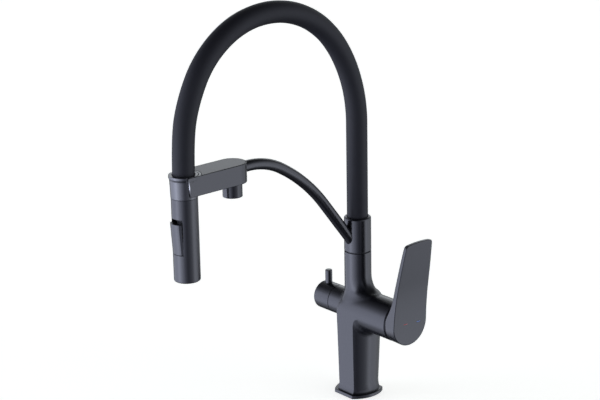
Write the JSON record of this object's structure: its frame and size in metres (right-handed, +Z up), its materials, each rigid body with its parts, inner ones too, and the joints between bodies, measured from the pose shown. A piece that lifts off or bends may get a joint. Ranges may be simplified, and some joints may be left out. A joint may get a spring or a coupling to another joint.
{
  "type": "pull down kitchen faucet",
  "caption": "Deck mounted single lever kitchen faucet: swivelling hose spout with a lift-out spray head docked in a bridge, and a side tap for a separate filtered water nozzle.",
  "frame": {"origin": "centre of the base on the counter surface, on the swivel axis", "axes": "+Z up, spout towards -Y, mixer lever on +X, filter tap on -X"},
  "size_m": [0.1565, 0.2774, 0.4659],
  "materials": {
    "black_metal": "satin black coating",
    "black_cover": "satin",
    "black_hose": "smooth matte silicone",
    "hose_liner": "smooth",
    "rocker_plastic": "satin",
    "seal_rubber": "matte",
    "ceramic": "polished ceramic",
    "inner_plastic": "moulded",
    "spray_plastic": "moulded",
    "brass": "turned",
    "steel": "plain"
  },
  "bodies": {
    "faucet_body": {"body_casting": "black_metal", "base_flange": "black_metal", "base_gasket": "seal_rubber", "cartridge_housing": "inner_plastic", "cartridge_seals": "seal_rubber", "fixed_disc": "ceramic", "cartridge_nut": "brass", "trim_ring": "spray_plastic", "filter_valve_housing": "brass", "filter_valve_seal": "seal_rubber", "filter_fixed_disc": "ceramic", "swivel_stem": "brass", "swivel_seals": "seal_rubber", "slide_ring": "spray_plastic", "stem_clip": "steel"},
    "mixer_guide": {"lever_guide": "inner_plastic", "lever_pivot_pin": "steel"},
    "mixer_lever": {"lever_handle": "black_metal", "lever_spindle": "brass", "lever_grub_screw": "steel"},
    "mixer_disc": {"disc_carrier": "inner_plastic", "moving_disc": "ceramic"},
    "filter_tap": {"filter_knob": "black_metal", "filter_lever_pin": "black_metal", "filter_spindle": "brass", "filter_moving_disc": "ceramic", "filter_grub_screw": "steel"},
    "spout": {"swivel_sleeve": "black_metal", "support_arm": "black_metal", "arm_seal": "seal_rubber", "bridge_housing": "black_metal", "bridge_cover": "black_cover", "nozzle_housing": "black_metal", "nozzle_washer": "seal_rubber", "nozzle_aerator": "spray_plastic", "lower_hose_fitting": "brass", "spout_hose": "black_hose", "inner_hose": "hose_liner"},
    "spray_head": {"dock_collar": "black_metal", "upper_hose_fitting": "brass", "head_shell": "black_metal", "head_core": "spray_plastic", "head_seal": "seal_rubber", "spray_face": "spray_plastic", "spray_aerator": "spray_plastic", "rocker_pin": "steel"},
    "rocker": {"rocker_button": "rocker_plastic"},
    "diverter": {"diverter_spool": "brass", "spool_seals": "seal_rubber"}
  },
  "joints": [
    {"name": "spout_swivel", "type": "hinge", "parent": "faucet_body", "child": "spout", "pos_m": [0, 0, 0.1694], "axis": [0, 0, 1], "continuous": true},
    {"name": "mixer_turn", "type": "hinge", "parent": "faucet_body", "child": "mixer_guide", "pos_m": [0.051, 0, 0.101], "axis": [1, 0, 0], "range_deg": [-45, 45]},
    {"name": "lever_lift", "type": "hinge", "parent": "mixer_guide", "child": "mixer_lever", "pos_m": [0.051, 0, 0.101], "axis": [0, 1, 0], "range_deg": [0, 15]},
    {"name": "disc_slide", "type": "slide", "parent": "mixer_guide", "child": "mixer_disc", "axis": [0, 0, 1], "range_m": [0, 0.0019]},
    {"name": "filter_turn", "type": "hinge", "parent": "faucet_body", "child": "filter_tap", "pos_m": [-0.033, 0, 0.101], "axis": [1, 0, 0], "range_deg": [0, 90]},
    {"name": "head_lift", "type": "slide", "parent": "spout", "child": "spray_head", "axis": [0, 0, 1], "range_m": [0, 0.03], "deforming": ["spout_hose", "inner_hose"]},
    {"name": "rocker_tilt", "type": "hinge", "parent": "spray_head", "child": "rocker", "pos_m": [0, -0.2448, 0.2404], "axis": [1, 0, 0], "range_deg": [-7.7, 0]},
    {"name": "spool_slide", "type": "slide", "parent": "spray_head", "child": "diverter", "axis": [0, 0, 1], "range_m": [-0.00088, 0]}
  ],
  "couplings": [
    {"joint": "disc_slide", "follows": "lever_lift", "m_per_rad": 0.0072},
    {"joint": "spool_slide", "follows": "rocker_tilt", "m_per_rad": 0.0065}
  ]
}
